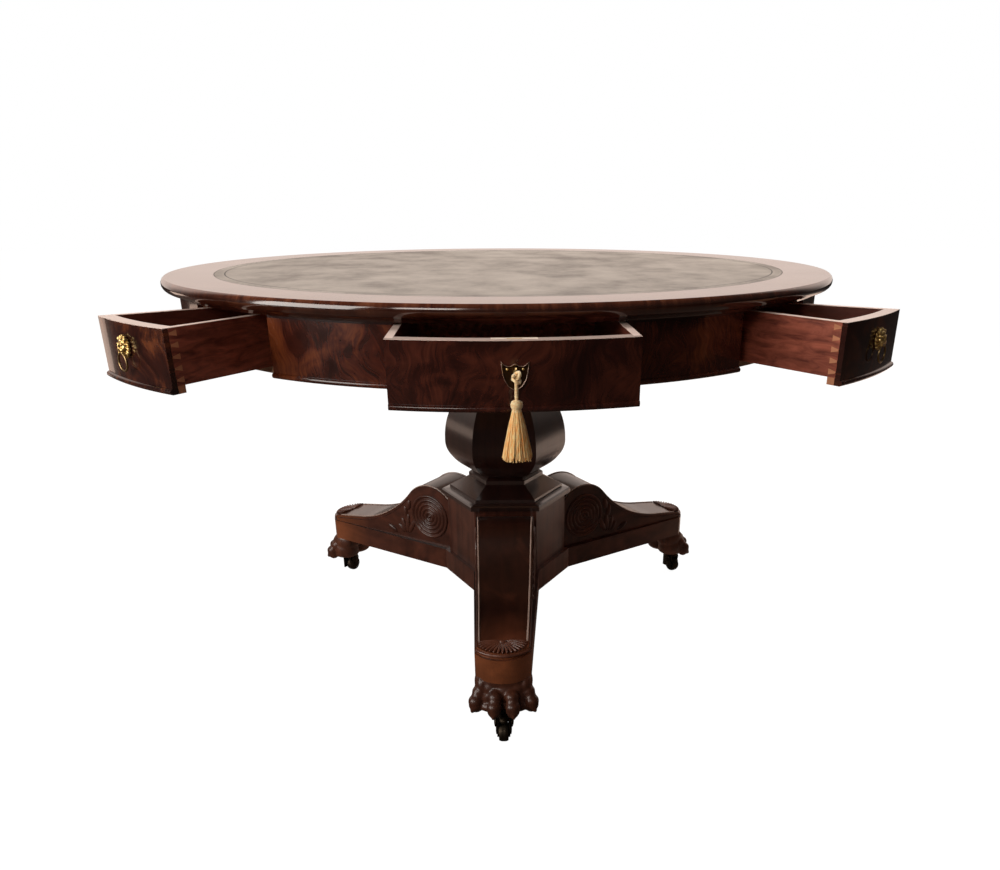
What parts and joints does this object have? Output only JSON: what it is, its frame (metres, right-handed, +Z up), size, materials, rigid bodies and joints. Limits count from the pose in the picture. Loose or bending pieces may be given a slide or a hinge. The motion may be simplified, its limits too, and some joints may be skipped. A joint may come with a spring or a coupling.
{
  "type": "drum table",
  "caption": "Round mahogany drum table with a leather-lined revolving top, straight and tapering frieze drawers, and a six-sided column on scroll legs with paw feet and casters.",
  "frame": {"origin": "on the floor, on the vertical axis of the column", "axes": "+Z up, -Y out through the front drawer, with the front leg 2.4 degrees to its left, +X to the right of someone facing the front drawer"},
  "size_m": [1.216, 1.3605, 0.75],
  "materials": {
    "mahogany_top": "french polished",
    "flame_mahogany": "french polished veneer",
    "mahogany_base": "french polished",
    "drawer_lining": "waxed",
    "carcase_wood": "unfinished",
    "leather": "tooled and worn",
    "brass": "polished",
    "dark_brass": "tarnished",
    "steel": "plain",
    "gold_silk": "twisted silk"
  },
  "bodies": {
    "base": {"column": "mahogany_base", "column_collar": "mahogany_base", "base_block": "mahogany_base", "leg_front": "mahogany_base", "leg_left": "mahogany_base", "leg_right": "mahogany_base", "paw_feet": "mahogany_base", "bearing_plate": "carcase_wood", "pivot_pin": "steel", "caster_plates": "dark_brass"},
    "drum": {"top_board": "mahogany_top", "leather_panel": "leather", "frieze_panels": "flame_mahogany", "drum_floor": "carcase_wood", "drawer_guides": "carcase_wood", "drum_hub": "carcase_wood"},
    "front_drawer": {"front_drawer_front": "flame_mahogany", "front_drawer_sides": "drawer_lining", "front_drawer_back": "drawer_lining", "front_drawer_bottom": "drawer_lining", "front_drawer_escutcheon": "brass", "front_drawer_lock_case": "brass"},
    "lock_bolt": {"front_drawer_lock_bolt": "brass"},
    "key": {"key": "brass", "tassel_knot": "gold_silk"},
    "tassel": {"tassel_cord": "gold_silk", "tassel": "gold_silk"},
    "right_drawer": {"right_drawer_front": "flame_mahogany", "right_drawer_box": "drawer_lining", "right_drawer_lock": "brass"},
    "back_drawer": {"back_drawer_front": "flame_mahogany", "back_drawer_box": "drawer_lining", "back_drawer_lock": "brass"},
    "left_drawer": {"left_drawer_front": "flame_mahogany", "left_drawer_box": "drawer_lining", "left_drawer_lock": "brass"},
    "front_left_drawer": {"front_left_drawer_front": "flame_mahogany", "front_left_drawer_walls": "drawer_lining", "front_left_drawer_bottom": "drawer_lining", "front_left_drawer_mask": "brass"},
    "front_left_ring": {"front_left_drawer_ring": "brass"},
    "front_right_drawer": {"front_right_drawer_front": "flame_mahogany", "front_right_drawer_walls": "drawer_lining", "front_right_drawer_bottom": "drawer_lining", "front_right_drawer_mask": "brass"},
    "front_right_ring": {"front_right_drawer_ring": "brass"},
    "back_right_drawer": {"back_right_drawer_front": "flame_mahogany", "back_right_drawer_box": "drawer_lining", "back_right_drawer_mask": "brass"},
    "back_right_ring": {"back_right_drawer_ring": "brass"},
    "back_left_drawer": {"back_left_drawer_front": "flame_mahogany", "back_left_drawer_box": "drawer_lining", "back_left_drawer_mask": "brass"},
    "back_left_ring": {"back_left_drawer_ring": "brass"},
    "caster_fork_front": {"caster_fork_front": "dark_brass"},
    "caster_wheel_front": {"caster_wheel_front": "dark_brass"},
    "caster_fork_right": {"caster_fork_right": "dark_brass"},
    "caster_wheel_right": {"caster_wheel_right": "dark_brass"},
    "caster_fork_left": {"caster_fork_left": "dark_brass"},
    "caster_wheel_left": {"caster_wheel_left": "dark_brass"}
  },
  "joints": [
    {"name": "drum_revolve", "type": "hinge", "parent": "base", "child": "drum", "pos_m": [0, 0, 0.66], "axis": [0, 0, 1], "continuous": true},
    {"name": "front_drawer_slide", "type": "slide", "parent": "drum", "child": "front_drawer", "axis": [0, -1, 0], "range_m": [-0.117, 0.163]},
    {"name": "right_drawer_slide", "type": "slide", "parent": "drum", "child": "right_drawer", "axis": [1, 0, 0], "range_m": [0, 0.28]},
    {"name": "back_drawer_slide", "type": "slide", "parent": "drum", "child": "back_drawer", "axis": [0, 1, 0], "range_m": [0, 0.28]},
    {"name": "left_drawer_slide", "type": "slide", "parent": "drum", "child": "left_drawer", "axis": [-1, 0, 0], "range_m": [0, 0.28]},
    {"name": "front_left_drawer_slide", "type": "slide", "parent": "drum", "child": "front_left_drawer", "axis": [-0.7071, -0.7071, 0], "range_m": [-0.148, 0.052]},
    {"name": "front_left_ring_lift", "type": "hinge", "parent": "front_left_drawer", "child": "front_left_ring", "pos_m": [-0.52255, -0.52255, 0.681], "axis": [-0.7071, 0.7071, 0], "range_deg": [0, 95]},
    {"name": "front_right_drawer_slide", "type": "slide", "parent": "drum", "child": "front_right_drawer", "axis": [0.7071, -0.7071, 0], "range_m": [-0.153, 0.047]},
    {"name": "front_right_ring_lift", "type": "hinge", "parent": "front_right_drawer", "child": "front_right_ring", "pos_m": [0.52609, -0.52609, 0.681], "axis": [-0.7071, -0.7071, 0], "range_deg": [0, 95]},
    {"name": "back_right_drawer_slide", "type": "slide", "parent": "drum", "child": "back_right_drawer", "axis": [0.7071, 0.7071, 0], "range_m": [0, 0.2]},
    {"name": "back_right_ring_lift", "type": "hinge", "parent": "back_right_drawer", "child": "back_right_ring", "pos_m": [0.4179, 0.4179, 0.681], "axis": [0.7071, -0.7071, 0], "range_deg": [0, 95]},
    {"name": "back_left_drawer_slide", "type": "slide", "parent": "drum", "child": "back_left_drawer", "axis": [-0.7071, 0.7071, 0], "range_m": [0, 0.2]},
    {"name": "back_left_ring_lift", "type": "hinge", "parent": "back_left_drawer", "child": "back_left_ring", "pos_m": [-0.4179, 0.4179, 0.681], "axis": [0.7071, 0.7071, 0], "range_deg": [0, 95]},
    {"name": "key_turn", "type": "hinge", "parent": "front_drawer", "child": "key", "pos_m": [0, -0.699, 0.684], "axis": [0, -1, 0], "range_deg": [0, 180]},
    {"name": "lock_bolt_slide", "type": "slide", "parent": "front_drawer", "child": "lock_bolt", "axis": [0, 0, 1], "range_m": [0, 0.00805]},
    {"name": "tassel_swing", "type": "hinge", "parent": "front_drawer", "child": "tassel", "pos_m": [0, -0.7355, 0.684], "axis": [0, -1, 0], "range_deg": [-45, 45]},
    {"name": "front_caster_swivel", "type": "hinge", "parent": "base", "child": "caster_fork_front", "pos_m": [-0.0196, -0.46759, 0.045], "axis": [0, 0, 1], "continuous": true},
    {"name": "front_caster_wheel", "type": "hinge", "parent": "caster_fork_front", "child": "caster_wheel_front", "pos_m": [-0.02057, -0.48156, 0.017], "axis": [0.9976, -0.0698, 0], "continuous": true},
    {"name": "right_caster_swivel", "type": "hinge", "parent": "base", "child": "caster_fork_right", "pos_m": [0.41474, 0.21682, 0.045], "axis": [0, 0, 1], "continuous": true},
    {"name": "right_caster_wheel", "type": "hinge", "parent": "caster_fork_right", "child": "caster_wheel_right", "pos_m": [0.42174, 0.2047, 0.017], "axis": [0.866, 0.5, 0], "continuous": true},
    {"name": "left_caster_swivel", "type": "hinge", "parent": "base", "child": "caster_fork_left", "pos_m": [-0.39515, 0.25077, 0.045], "axis": [0, 0, 1], "continuous": true},
    {"name": "left_caster_wheel", "type": "hinge", "parent": "caster_fork_left", "child": "caster_wheel_left", "pos_m": [-0.38815, 0.26289, 0.017], "axis": [-0.866, 0.5, 0], "continuous": true}
  ],
  "couplings": [
    {"joint": "lock_bolt_slide", "follows": "key_turn", "m_per_rad": 0.0025465}
  ]
}
